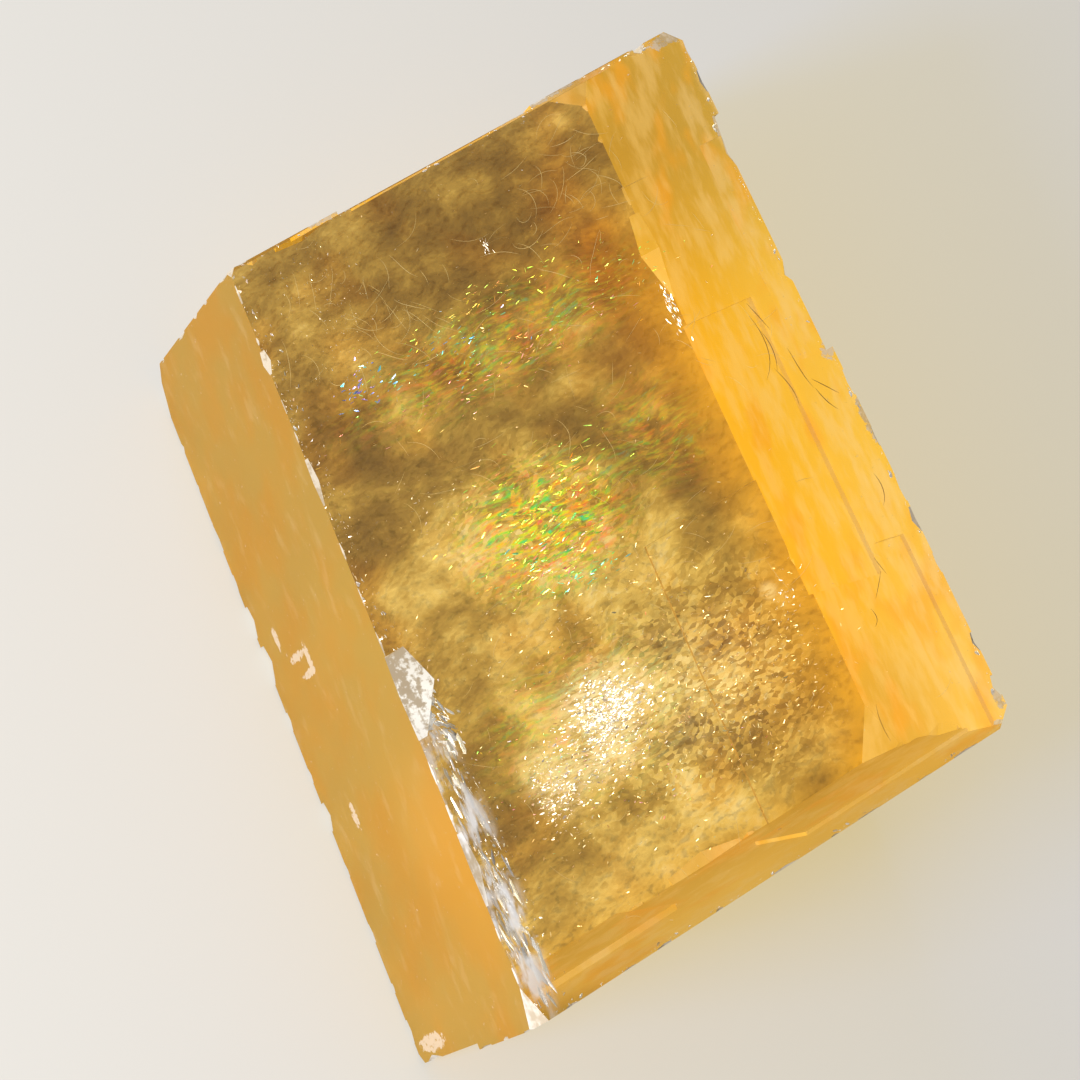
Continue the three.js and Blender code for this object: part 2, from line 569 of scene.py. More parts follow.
@dataclass(frozen=True)
class SeenZone:
    """A soft oval on the resting face, placed by where it shows through the upper face; lengths in millimetres."""

    short: float
    long: float
    half_short: float
    half_long: float
    strength: float = 1.0

    def wire(self, sheet: NodeSheet, place: Wire, cleavage: CleavageFrame, depth: float) -> Wire:
        """Add the zone to a material.

        Args:
            sheet: the material's nodes.
            place: object coordinates.
            cleavage: the crystal's frame.
            depth: how far below the upper face the zone lies, in metres.

        Returns:
            The strength at the zone's middle, falling to 0 at its rim.
        """
        centre = cleavage.seen(self.short * MM, self.long * MM, depth)
        turn = math.atan2(cleavage.short_way.y, cleavage.short_way.x)
        local = sheet.place("ShaderNodeMapping", {"vector_type": "TEXTURE"}, {
            "Vector": place, "Location": centre, "Rotation": (0.0, 0.0, turn),
            "Scale": (self.half_short * MM, self.half_long * MM, 1.0),
        })["Vector"]
        reach = sheet.place("ShaderNodeVectorMath", {"operation": "LENGTH"}, {0: local})["Value"]
        return OVAL_FADE.wire(reach) * self.strength


@dataclass(frozen=True)
class EdgeSpot:
    """A soft oval on a face, placed by the distances along two of the crystal's edges; lengths in millimetres."""

    first: float
    second: float
    half_first: float
    half_second: float

    def wire(self, first: Wire, second: Wire) -> Wire:
        """Add the spot to a material.

        Args:
            first: distance along the first edge, in metres.
            second: distance along the second edge, in metres.

        Returns:
            1 at the spot's middle, falling to 0 at its rim.
        """
        across = (first - self.first * MM) * (1 / (self.half_first * MM))
        down = (second - self.second * MM) * (1 / (self.half_second * MM))
        return OVAL_FADE.wire(across * across + down * down)


@dataclass(frozen=True)
class HoneyCalcite:
    """The crystal's upper face, sides and breaks: clear above, waxy sides with a painted glow on the far ones, white
    on bruises.
    """

    ior: float = 1.6
    clear_tint: Colour = (1.0, 0.985, 0.95)
    side_blur: float = 0.4
    break_blur: float = 0.35
    absorbed_colour: Colour = (0.96, 0.83, 0.17)
    absorption_per_m: float = 12.0
    wax_pale: Colour = (0.52, 0.335, 0.040)
    wax_deep: Colour = (0.59, 0.305, 0.016)
    # Painted glow: a brighter orange for a strip along the south part of the west face.
    painted_edge_glow: Colour = (0.80, 0.370, 0.006)
    wax_roughness: float = 0.42
    wax_specular: float = 0.4
    wax_ior: float = 1.5
    lit_wax: Colour = (0.64, 0.36, 0.025)
    near_lit: float = 0.5
    far_lit_loss: float = 0.2
    side_milk: float = 0.88
    break_milk: float = 0.95
    chip_milk: float = 0.7
    # Painted reflection: the share of the silvery strip on the upper face.
    painted_reflection_milk: float = 0.8
    # Painted light: the far sides are coloured a bright glow, as if lit by light passing through the crystal.
    glow: Colour = (1.0, 0.600, 0.008)
    glow_outer: Colour = (1.0, 0.620, 0.060)
    # Painted shade: a dimmer glow for the north end of the east side.
    glow_dimmed: Colour = (0.58, 0.375, 0.050)
    # Painted glow of the south face, and its darker colour lower down, which is painted shade.
    glow_south: Colour = (1.0, 0.640, 0.110)
    glow_lower_shade: Colour = (0.74, 0.47, 0.075)
    veil: Colour = (1.0, 0.780, 0.420)
    stain: Colour = (0.98, 0.450, 0.014)
    bruise: Colour = (0.84, 0.81, 0.74)
    crush: Colour = (0.40, 0.32, 0.22)
    spall: SeenZone = SeenZone(1.5, 47.0, 7.0, 9.0, 1.0)
    # Painted reflection: the silvery strip on the upper face along the west edge stands for the sky mirrored in a
    # crack beneath it.
    silver: Colour = (0.74, 0.73, 0.74)
    painted_reflection_strip: EdgeSpot = EdgeSpot(1.0, 64.0, 3.0, 19.0)
    chipped_wax: Colour = (0.95, 0.82, 0.62)
    cloud: Mottle = Mottle(9 * MM, 2, 0.6)
    fine: Mottle = Mottle(0.55 * MM, 2, 0.65)
    haze: Mottle = Mottle(3.5 * MM, 3, 0.62)
    haze_stretch: Stretch = (1.0, 0.5, 1.0)
    scratch: Mottle = Mottle(1.4 * MM, 3, 0.65)
    scratch_stretch: Stretch = (1.0, 0.30, 0.7)
    far_from_west: Rise = Rise(1.5 * MM, 9 * MM)
    outer: Rise = Rise(24 * MM, 6 * MM)
    southern: Rise = Rise(60 * MM, 74 * MM)
    sunk: Rise = Rise(4 * MM, 27 * MM)
    west_margin: Rise = Rise(5 * MM, 4 * MM)
    east_margin: Rise = Rise(47 * MM, 48 * MM)
    north_margin: Rise = Rise(3.5 * MM, 2.5 * MM)
    stained: Rise = Rise(0.50, 0.66, 0.6)
    hazed: Rise = Rise(0.42, 0.66, 0.42)
    scratched: Rise = Rise(0.56, 0.72, 0.14)
    deepened: Rise = Rise(0.35, 0.65)
    wax_scratched: Rise = Rise(0.54, 0.74, 0.16)
    whitened: Rise = Rise(0.43, 0.53)
    reflection_streaks: Rise = Rise(0.40, 0.60)
    chip_rim: Rise = Rise(0.30, 0.70)
    rim_break: float = 2.6
    rim_loss: float = 0.15
    old_white: float = 0.3
    fine_part: float = 0.4
    # Where the painted glow on the west face lies.
    edge_glow: SeenZone = SeenZone(1.0, 64.0, 5.0, 20.0, 0.9)
    # Where the painted glow is dimmed, at the north end of the east side.
    dim_glow_end: SeenZone = SeenZone(48.0, 3.0, 16.0, 30.0, 1.0)
    west_chips: tuple[EdgeSpot, ...] = (
        EdgeSpot(36.9, 17.8, 2.4, 0.8), EdgeSpot(36.0, 20.6, 0.7, 2.8), EdgeSpot(38.2, 19.2, 0.6, 2.4),
        EdgeSpot(52.9, 21.7, 2.0, 0.9), EdgeSpot(33.0, 24.0, 1.9, 0.8), EdgeSpot(75.8, 24.5, 1.2, 4.5),
    )
    top_chips: tuple[EdgeSpot, ...] = (
        EdgeSpot(50.4, 0.8, 3.4, 1.1), EdgeSpot(51.4, 12.4, 0.8, 2.0), EdgeSpot(51.5, 27.8, 0.7, 2.8),
        EdgeSpot(51.0, 38.0, 1.0, 1.4), EdgeSpot(51.5, 46.0, 0.6, 3.4), EdgeSpot(51.2, 75.5, 0.7, 1.6),
        EdgeSpot(13.0, 0.1, 6.0, 0.5), EdgeSpot(34.0, 0.1, 8.0, 0.5),
    )

    def build(self, cleavage: CleavageFrame) -> bpy.types.Material:
        """Make the material.

        Args:
            cleavage: the crystal's frame.

        Returns:
            The finished material.
        """
        material, sheet = new_material("honey_calcite")
        place = sheet.where()
        side, broken = (sheet.attribute(kind.value) for kind in (FaceKind.SIDE, FaceKind.BREAK))
        cloud, fine = (mottle.wire(sheet, place) for mottle in (self.cloud, self.fine))
        haze = self.haze.wire(sheet, sheet.mapped(place, 0.0, self.haze_stretch))
        scratch = self.scratch.wire(sheet, sheet.mapped(place, 0.0, self.scratch_stretch))
        short, long, lean = (cleavage.along_wire(sheet, place, axis) for axis in range(3))

        def ragged(spots: Sequence[Wire]) -> Wire:
            """These spots together, with broken rims."""
            return self.chip_rim.wire(sum(spots[1:], spots[0]) + (fine - 0.5) * self.rim_break - self.rim_loss)

        def shown(zone: SeenZone) -> Wire:
            """The strength of a zone of the upper face."""
            return zone.wire(sheet, place, cleavage, 0.0)

        # Painted light: the far sides' glow, paler near their upper rim; the stains and veils laid on it are real.
        glow = sheet.blend(self.outer.wire(lean), self.glow, self.glow_outer)
        # Painted shade: the glow is dimmed towards the north end.
        glow = sheet.blend(shown(self.dim_glow_end), glow, self.glow_dimmed)
        # The south face gets its own painted glow, darker lower down as painted shade.
        south = sheet.blend(self.sunk.wire(lean), self.glow_south, self.glow_lower_shade)
        glow = sheet.blend(self.southern.wire(long), glow, south)
        glow = sheet.blend(self.stained.wire(cloud), glow, self.stain)
        glow = sheet.blend(self.hazed.wire(haze) + self.scratched.wire(scratch), glow, self.veil)
        wax = sheet.blend(self.deepened.wire(cloud), self.wax_pale, self.wax_deep)
        # Painted glow along the south part of the west face.
        wax = sheet.blend(shown(self.edge_glow), wax, self.painted_edge_glow)
        wax = sheet.blend(self.wax_scratched.wire(scratch), wax, self.veil)
        wax = sheet.blend(ragged([spot.wire(long, lean) for spot in self.west_chips]), wax, self.chipped_wax)
        # Faces far from the west face take the painted glow instead of the plain wax.
        far = self.far_from_west.wire(short)
        fresh = self.old_white + (1 - self.old_white) * shown(self.spall)
        white = self.whitened.wire(fine * self.fine_part + scratch * (1 - self.fine_part)) * fresh
        # Painted reflection: a streaked silvery strip on the upper face, laid over the real white of bruises and
        # breaks.
        silver = self.painted_reflection_strip.wire(short, long) * self.reflection_streaks.wire(scratch)
        bruise_and_painted_reflection = sheet.blend(silver, sheet.blend(white.clamped(), self.crush, self.bruise), self.silver)
        colour = sheet.blend(side, bruise_and_painted_reflection, sheet.blend(far, wax, glow))

        clear = sheet.principled({
            "Base Color": rgba(self.clear_tint), "IOR": self.ior, "Transmission Weight": 1.0,
            "Roughness": self.side_blur * side + self.break_blur * broken,
        })
        milky = sheet.principled({
            "Base Color": colour, "Roughness": self.wax_roughness,
            "Specular IOR Level": self.wax_specular, "IOR": self.wax_ior,
        })
        lit = sheet.place("ShaderNodeBsdfTranslucent", {}, {"Color": rgba(self.lit_wax)})[0]
        waxy = sheet.merge(side * (self.near_lit - self.far_lit_loss * far), milky, lit)
        chips = ragged([spot.wire(short, long) for spot in self.top_chips])
        # On the upper face the milky share holds the real chips and the painted reflection strip.
        chips_and_painted_reflection = (1.0 - side - broken) * (chips * self.chip_milk + silver * self.painted_reflection_milk)
        milk = (self.side_milk * side + self.break_milk * broken + chips_and_painted_reflection).clamped()
        # The margins keep the patterns from being worked out over the clear middle of the upper face.
        margins = self.west_margin.wire(short) + self.east_margin.wire(short) + self.north_margin.wire(long)
        body = sheet.merge((side + broken + margins).clamped(), clear, sheet.merge(milk, clear, waxy))
        volume = sheet.place("ShaderNodeVolumeAbsorption", {}, {
            "Color": rgba(self.absorbed_colour), "Density": self.absorption_per_m,
        })[0]
        sheet.output({"Surface": sheet.lamp_through(body, SHADOW_TINT), "Volume": volume})
        return material


@dataclass(frozen=True)
class CrumpledGold:
    """The finish of the resting face, which shows through the crystal as crumpled gold and brown foil, with painted
    glints and a painted glow along its east and south rims.
    """

    cool: Stops = (
        (0.00, (0.13, 0.080, 0.028)), (0.30, (0.27, 0.182, 0.056)), (0.52, (0.47, 0.343, 0.112)),
        (0.72, (0.77, 0.630, 0.280)), (1.00, (1.0, 0.95, 0.76)),
    )
    warm: Stops = (
        (0.00, (0.17, 0.065, 0.010)), (0.35, (0.38, 0.165, 0.018)), (0.65, (0.75, 0.37, 0.03)),
        (1.00, (1.0, 0.72, 0.22)),
    )
    light_zones: tuple[SeenZone, ...] = (
        SeenZone(21.0, 57.0, 30.0, 34.0, 0.15), SeenZone(17.5, 38.5, 13.0, 11.0, 0.16),
        SeenZone(16.0, 58.5, 13.0, 9.0, 0.20), SeenZone(31.0, 62.0, 10.0, 10.0, 0.05),
        SeenZone(9.5, 31.0, 6.0, 5.0, 0.18), SeenZone(7.5, 38.0, 8.5, 5.5, 0.21),
        SeenZone(10.5, 46.5, 7.0, 5.0, 0.16), SeenZone(6.0, 7.5, 8.5, 8.5, 0.09),
        SeenZone(14.0, 75.0, 30.0, 11.0, 0.20), SeenZone(21.0, 49.0, 12.0, 5.0, 0.14),
    )
    dark_zones: tuple[SeenZone, ...] = (
        SeenZone(3.0, 24.0, 9.0, 16.0, 0.18), SeenZone(26.0, 8.0, 22.0, 12.0, 0.16),
        SeenZone(34.0, 40.0, 9.0, 12.0, 0.13), SeenZone(3.0, 62.0, 5.0, 20.0, 0.14),
    )
    warm_zones: tuple[SeenZone, ...] = (
        SeenZone(37.0, 24.0, 8.0, 26.0, 0.8), SeenZone(34.0, 64.0, 12.0, 14.0, 0.35),
    )
    rainbow_zones: tuple[SeenZone, ...] = (
        SeenZone(18.6, 38.7, 12.0, 9.5, 1.3), SeenZone(22.0, 19.5, 24.0, 7.0, 0.45),
        SeenZone(15.0, 57.5, 14.0, 10.0, 0.5), SeenZone(33.0, 36.0, 8.0, 9.0, 0.35),
    )
    facet_zones: tuple[SeenZone, ...] = (
        SeenZone(27.0, 61.0, 20.0, 15.0, 1.0), SeenZone(19.0, 38.0, 14.0, 12.0, 0.6),
    )
    # Painted highlights: where white glints, standing for light mirrored by cracks, are painted on the resting face.
    painted_glint_zones: tuple[SeenZone, ...] = (
        SeenZone(16.8, 57.3, 7.0, 5.5, 1.0), SeenZone(15.1, 61.9, 5.5, 3.4, 0.7),
        SeenZone(9.6, 60.8, 4.2, 5.4, 0.6), SeenZone(36.8, 56.6, 1.4, 1.4, 0.8),
        SeenZone(24.0, 60.0, 14.0, 10.0, 0.22),
    )
    stir_size: float = 7 * MM
    stir_octaves: float = 1.5
    bend: float = 2.6 * MM
    fibre_turn: float = math.radians(-22)
    fibre_stretch: Stretch = (0.6, 1.0, 1.0)
    fibre: Mottle = Mottle(2.8 * MM, 3, 0.62)
    foil: Mottle = Mottle(0.6 * MM, 2, 0.62)
    silk_turn: float = math.radians(-12)
    silk_stretch: Stretch = (0.30, 1.0, 1.0)
    streak: Mottle = Mottle(0.5 * MM, 3, 0.66)
    film: Mottle = Mottle(1.5 * MM, 3, 0.66)
    facet_size: float = 0.38 * MM
    middle_level: float = 0.42
    fibre_weight: float = 0.75
    foil_weight: float = 0.30
    lump_weight: float = 0.85
    facet_weight: float = 0.08
    facet_zone_weight: float = 0.44
    film_facet: float = 0.14
    reddened: Rise = Rise(0.48, 0.72, 0.3)
    film_hue: Rise = Rise(0.0, 0.84)
    rainbow_streak: Rise = Rise(0.40, 0.64)
    # The painted glints' colour and how they are streaked.
    sheen: Colour = (1.0, 0.99, 0.96)
    sheen_streak: Rise = Rise(0.34, 0.62)
    sheen_between: float = 0.15
    # Painted glow: the resting face near the east and south sides takes on the sides' glow.
    painted_rim_glow: Colour = (0.76, 0.45, 0.040)
    rim_floor: float = 0.35
    east_rim: Rise = Rise(44.5 * MM, 52 * MM)
    east_fade: Rise = Rise(6 * MM, 34 * MM)
    south_rim: Rise = Rise(74 * MM, 80 * MM, 0.7)
    step_shade: Colour = (0.40, 0.25, 0.07)
    roughness: float = 0.42
    metal: Rise = Rise(0.48, 0.66, 0.6)

    def build(self, cleavage: CleavageFrame) -> bpy.types.Material:
        """Make the material.

        Args:
            cleavage: the crystal's frame.

        Returns:
            The finished material.
        """
        material, sheet = new_material("crumpled_gold")
        place = sheet.where()

        def total(zones: Sequence[SeenZone]) -> Wire:
            """Sum of the strengths of these zones."""
            wires = [zone.wire(sheet, place, cleavage, cleavage.corner.z) for zone in zones]
            return sum(wires[1:], wires[0])

        stir = sheet.place("ShaderNodeTexNoise", {}, {
            "Vector": place, "Scale": 1 / self.stir_size, "Detail": self.stir_octaves,
        })["Color"]
        parts = sheet.place("ShaderNodeSeparateColor", {}, {0: stir})
        lump, hue = parts["Red"], parts["Green"]
        bent = sheet.place("ShaderNodeVectorMath", {"operation": "MULTIPLY_ADD"}, {
            0: stir, 1: (self.bend, self.bend, 0.0), 2: place,
        })[0]
        fibre_place = sheet.mapped(bent, self.fibre_turn, self.fibre_stretch)
        fibre, foil = (mottle.wire(sheet, fibre_place) for mottle in (self.fibre, self.foil))
        cells = sheet.place("ShaderNodeTexVoronoi", {}, {
            "Vector": fibre_place, "Scale": 1 / self.facet_size,
        })["Color"]
        facet = sheet.place("ShaderNodeSeparateColor", {}, {0: cells})["Red"] - 0.5
        level = self.middle_level + (fibre - 0.5) * self.fibre_weight + (foil - 0.5) * self.foil_weight
        level = level + (lump - 0.5) * self.lump_weight
        level = level + facet * (self.facet_weight + total(self.facet_zones) * self.facet_zone_weight)
        level = level + total(self.light_zones) - total(self.dark_zones)
        cool, warm = (sheet.ramp(stops, level) for stops in (self.cool, self.warm))
        ground = sheet.blend((total(self.warm_zones) + self.reddened.wire(hue)).clamped(), cool, warm)

        silk_place = sheet.mapped(bent, self.silk_turn, self.silk_stretch)
        streak, film = (mottle.wire(sheet, silk_place) for mottle in (self.streak, self.film))
        rainbow = sheet.ramp(SPECTRUM, self.film_hue.wire(film + facet * self.film_facet))
        shown = (total(self.rainbow_zones) * self.rainbow_streak.wire(streak)).clamped()
        # Painted highlights: the white glints, streaked, with less metal where they lie.
        sheen = (total(self.painted_glint_zones) * (self.sheen_streak.wire(streak) + self.sheen_between)).clamped()
        colour = sheet.blend(sheen, sheet.blend(shown, ground, rainbow), self.sheen)
        short, long = (cleavage.along_wire(sheet, place, axis) for axis in (0, 1))
        # Painted glow along the east and south rims.
        rim = self.east_rim.wire(short) * self.east_fade.wire(long) + self.south_rim.wire(long)
        colour = sheet.blend((rim * (self.rim_floor + fibre)).clamped(), colour, self.painted_rim_glow)
        colour = sheet.blend(sheet.attribute(FaceKind.STEP.value), colour, self.step_shade)
        gold = sheet.principled({
            "Base Color": colour, "Roughness": self.roughness, "Metallic": self.metal.wire(foil) * (1.0 - sheen),
        })
        sheet.output({"Surface": sheet.lamp_through(gold, SHADOW_TINT)})
        return material


@dataclass(frozen=True)
class Crystal:
    """The crystal's own surface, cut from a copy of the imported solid."""

    cleavage: CleavageFrame
    weld: float = 0.002 * MM
    face_match: float = 0.9995
    step: float = 0.4 * MM
    rim: float = 4 * MM
    white_above: float = 22 * MM
    white_west: float = -18 * MM

    def build(self, source: bpy.types.Object) -> bpy.types.Object:
        """Make the visible crystal.

        Args:
            source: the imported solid, which is only copied.

        Returns:
            The crystal's object.
        """
        mesh = bpy.data.meshes.new("calcite_crystal")
        work = bmesh.new()
        work.from_mesh(source.data)
        bmesh.ops.remove_doubles(work, verts=work.verts[:], dist=self.weld)
        work.to_mesh(mesh)
        work.free()
        mesh.materials.clear()
        mesh.materials.append(HoneyCalcite().build(self.cleavage))
        mesh.materials.append(CrumpledGold().build(self.cleavage))
        self._mark_faces(mesh)
        mesh.shade_flat()
        return new_object("calcite_crystal", mesh)

    def _mark_faces(self, mesh: bpy.types.Mesh) -> None:
        """Store on each face what it is, by the way that it faces, and give it its material.

        Args:
            mesh: the crystal's mesh.
        """
        kinds = [self._kind(polygon.normal, polygon.center) for polygon in mesh.polygons]
        for kind in (FaceKind.SIDE, FaceKind.BREAK, FaceKind.STEP):
            layer = mesh.attributes.new(kind.value, "FLOAT", "FACE")
            layer.data.foreach_set("value", [float(found is kind) for found in kinds])
        golden = [int(found in (FaceKind.BASE, FaceKind.STEP)) for found in kinds]
        mesh.polygons.foreach_set("material_index", golden)

    def _kind(self, normal: Vector, centre: Vector) -> FaceKind:
        """Tell what a face is.

        Args:
            normal: the way that it faces.
            centre: its middle.

        Returns:
            Its kind.
        """
        if normal.z > self.face_match and centre.z > self.cleavage.corner.z - self.step:
            return FaceKind.TOP
        depth = self.cleavage.side_depth(centre)
        if abs(normal.z) > self.face_match:
            return FaceKind.BASE if depth > self.rim or centre.z < self.step else FaceKind.SIDE
        if any(abs(normal.dot(side)) > self.face_match for side in self.cleavage.side_normals()):
            return FaceKind.SIDE if depth < self.rim else FaceKind.STEP
        hidden = centre.z < self.white_above and centre.x > self.white_west
        return FaceKind.SIDE if hidden else FaceKind.BREAK


class GrowthTree:
    """A Geometry Nodes tree that is run once on an object and leaves a plain mesh."""

    def __init__(self, name: str, inputs: Mapping[str, str]) -> None:
        """Make the tree.

        Args:
            name: the tree's name.
            inputs: the socket type of each named input beside the geometry.
        """
        self.tree = bpy.data.node_groups.new(name, "GeometryNodeTree")
        self.sheet = NodeSheet(self.tree)
        self.tree.interface.new_socket("Geometry", in_out="OUTPUT", socket_type="NodeSocketGeometry")
        for label, kind in {"Geometry": "NodeSocketGeometry", **inputs}.items():
            self.tree.interface.new_socket(label, in_out="INPUT", socket_type=kind)
        self.given = self.sheet.place("NodeGroupInput", {}, {})

    def close(self, geometry: Wire) -> None:
        """End the tree, with the Finish input as the material.

        Args:
            geometry: the instances or meshes to send out.
        """
        whole = self.sheet.place("GeometryNodeRealizeInstances", {}, {"Geometry": geometry})[0]
        dressed = self.sheet.place(
            "GeometryNodeSetMaterial", {}, {"Geometry": whole, "Material": self.given["Finish"]}
        )[0]
        self.sheet.place("NodeGroupOutput", {}, {0: dressed})

    def grow(self, name: str, seeds: bpy.types.Mesh, values: Mapping[str, Any]) -> bpy.types.Object:
        """Evaluate the tree on points or paths.

        Args:
            name: the grown piece's name.
            seeds: the mesh that is the tree's geometry.
            values: a value for each named input.

        Returns:
            An object with a plain mesh, which casts no shadow.
        """
        source = new_object(f"{name}_seeds", seeds)
        modifier = source.modifiers.new(self.tree.name, "NODES")
        modifier.node_group = self.tree
        for item in self.tree.interface.items_tree:
            if item.in_out == "INPUT" and item.name in values:
                modifier[item.identifier] = values[item.name]
        depsgraph = bpy.context.evaluated_depsgraph_get()
        mesh = bpy.data.meshes.new_from_object(source.evaluated_get(depsgraph), depsgraph=depsgraph)
        source.modifiers.remove(modifier)
        bpy.data.objects.remove(source)
        mesh.name = name
        piece = new_object(name, mesh)
        piece.visible_shadow = False
        return piece


class Inside:
    """Tells whether a point lies inside the crystal."""

    probe = Vector((0.31, 0.17, 0.94)).normalized()
    step = 0.001 * MM

    def __init__(self, crystal: bpy.types.Object) -> None:
        """Index the crystal's faces.

        Args:
            crystal: the crystal.
        """
        work = bmesh.new()
        work.from_mesh(crystal.data)
        self.index = BVHTree.FromBMesh(work)
        work.free()

    def holds(self, point: Vector, margin: float) -> bool:
        """Whether the point is inside and at least this far from the surface.

        Args:
            point: the point.
            margin: the least distance to the surface, in metres.

        Returns:
            True if a line from the point leaves the crystal an odd number of times.
        """
        if self.index.find_nearest(point)[3] <= margin:
            return False
        crossings = 0
        place = self.index.ray_cast(point, self.probe)[0]
        while place is not None:
            crossings += 1
            place = self.index.ray_cast(place + self.probe * self.step, self.probe)[0]
        return crossings % 2 == 1


@dataclass(frozen=True)
class FilmFlake:
    """The finish of the cracks inside: thin mirror films, from silver and gold to all the rainbow's colours."""

    gold: Colour = (0.95, 0.68, 0.26)
    silver: Colour = (0.93, 0.95, 0.98)
    wave: Mottle = Mottle(0.7 * MM, 2)
    shimmer: float = 0.16
    metallic: float = 0.7
    roughness: float = 0.34

    def build(self) -> bpy.types.Material:
        """Make the material.

        Returns:
            The finished material.
        """
        material, sheet = new_material("crack_film")
        wave = self.wave.wire(sheet, sheet.where()) - 0.5
        film = (sheet.attribute("film") + wave * (2 * self.shimmer)).clamped()
        bright = sheet.ramp(SPECTRUM, film)
        plain = sheet.blend(sheet.attribute("film"), self.gold, self.silver)
        colour = sheet.blend(sheet.attribute("vivid"), plain, bright)
        metal = sheet.principled({
            "Base Color": colour, "Metallic": self.metallic, "Roughness": self.roughness,
        })
        sheet.output({"Surface": metal})
        return material


@dataclass(frozen=True)
class FlakeRow:
    """One flake: its middle, its own three axes, its length and width, and its colour values."""

    place: Vector
    along: Vector
    side: Vector
    normal: Vector
    length: float
    width: float
    film: float = 0.0
    vivid: float = 0.0
    tip: float = 0.6

    @classmethod
    def facing(cls, place: Vector, normal: Vector, along: Vector, length: float, width: float) -> "FlakeRow":
        """A flake at a place, with this normal and as near as it can be along this direction."""
        side = normal.cross(along).normalized()
        return cls(place, side.cross(normal).normalized(), side, normal.normalized(), length, width)

    def coloured(self, film: float, vivid: float) -> "FlakeRow":
        """The same flake with these colour values."""
        return replace(self, film=film, vivid=vivid)

    def fits(self, inside: Inside, margin: float) -> bool:
        """Tell whether its four tips lie inside the crystal.

        Args:
            inside: the test of a point.
            margin: the least distance to the surface, in metres.

        Returns:
            True if all of them do.
        """
        reach, half = self.along * self.length * self.tip, self.side * self.width * self.tip
        tips = (self.place + reach, self.place - reach, self.place + half, self.place - half)
        return all(inside.holds(tip, margin) for tip in tips)

    def turn(self) -> list[float]:
        """Its rotation as Euler angles."""
        return list(Matrix((self.along, self.side, self.normal)).transposed().to_euler())


@dataclass(frozen=True)
class FlakePatch:
    """Flakes of one crack, placed by where they show through the upper face; lengths in millimetres."""

    short: float
    long: float
    depth: float
    spread: tuple[float, float, float]
    count: int
    length: tuple[float, float]
    slim: float
    film: tuple[float, float]
    vivid: tuple[float, float]
    scatter: float
    wander: float = 0.5
    heading: float = 0.0
    facing: Vector = GLINT


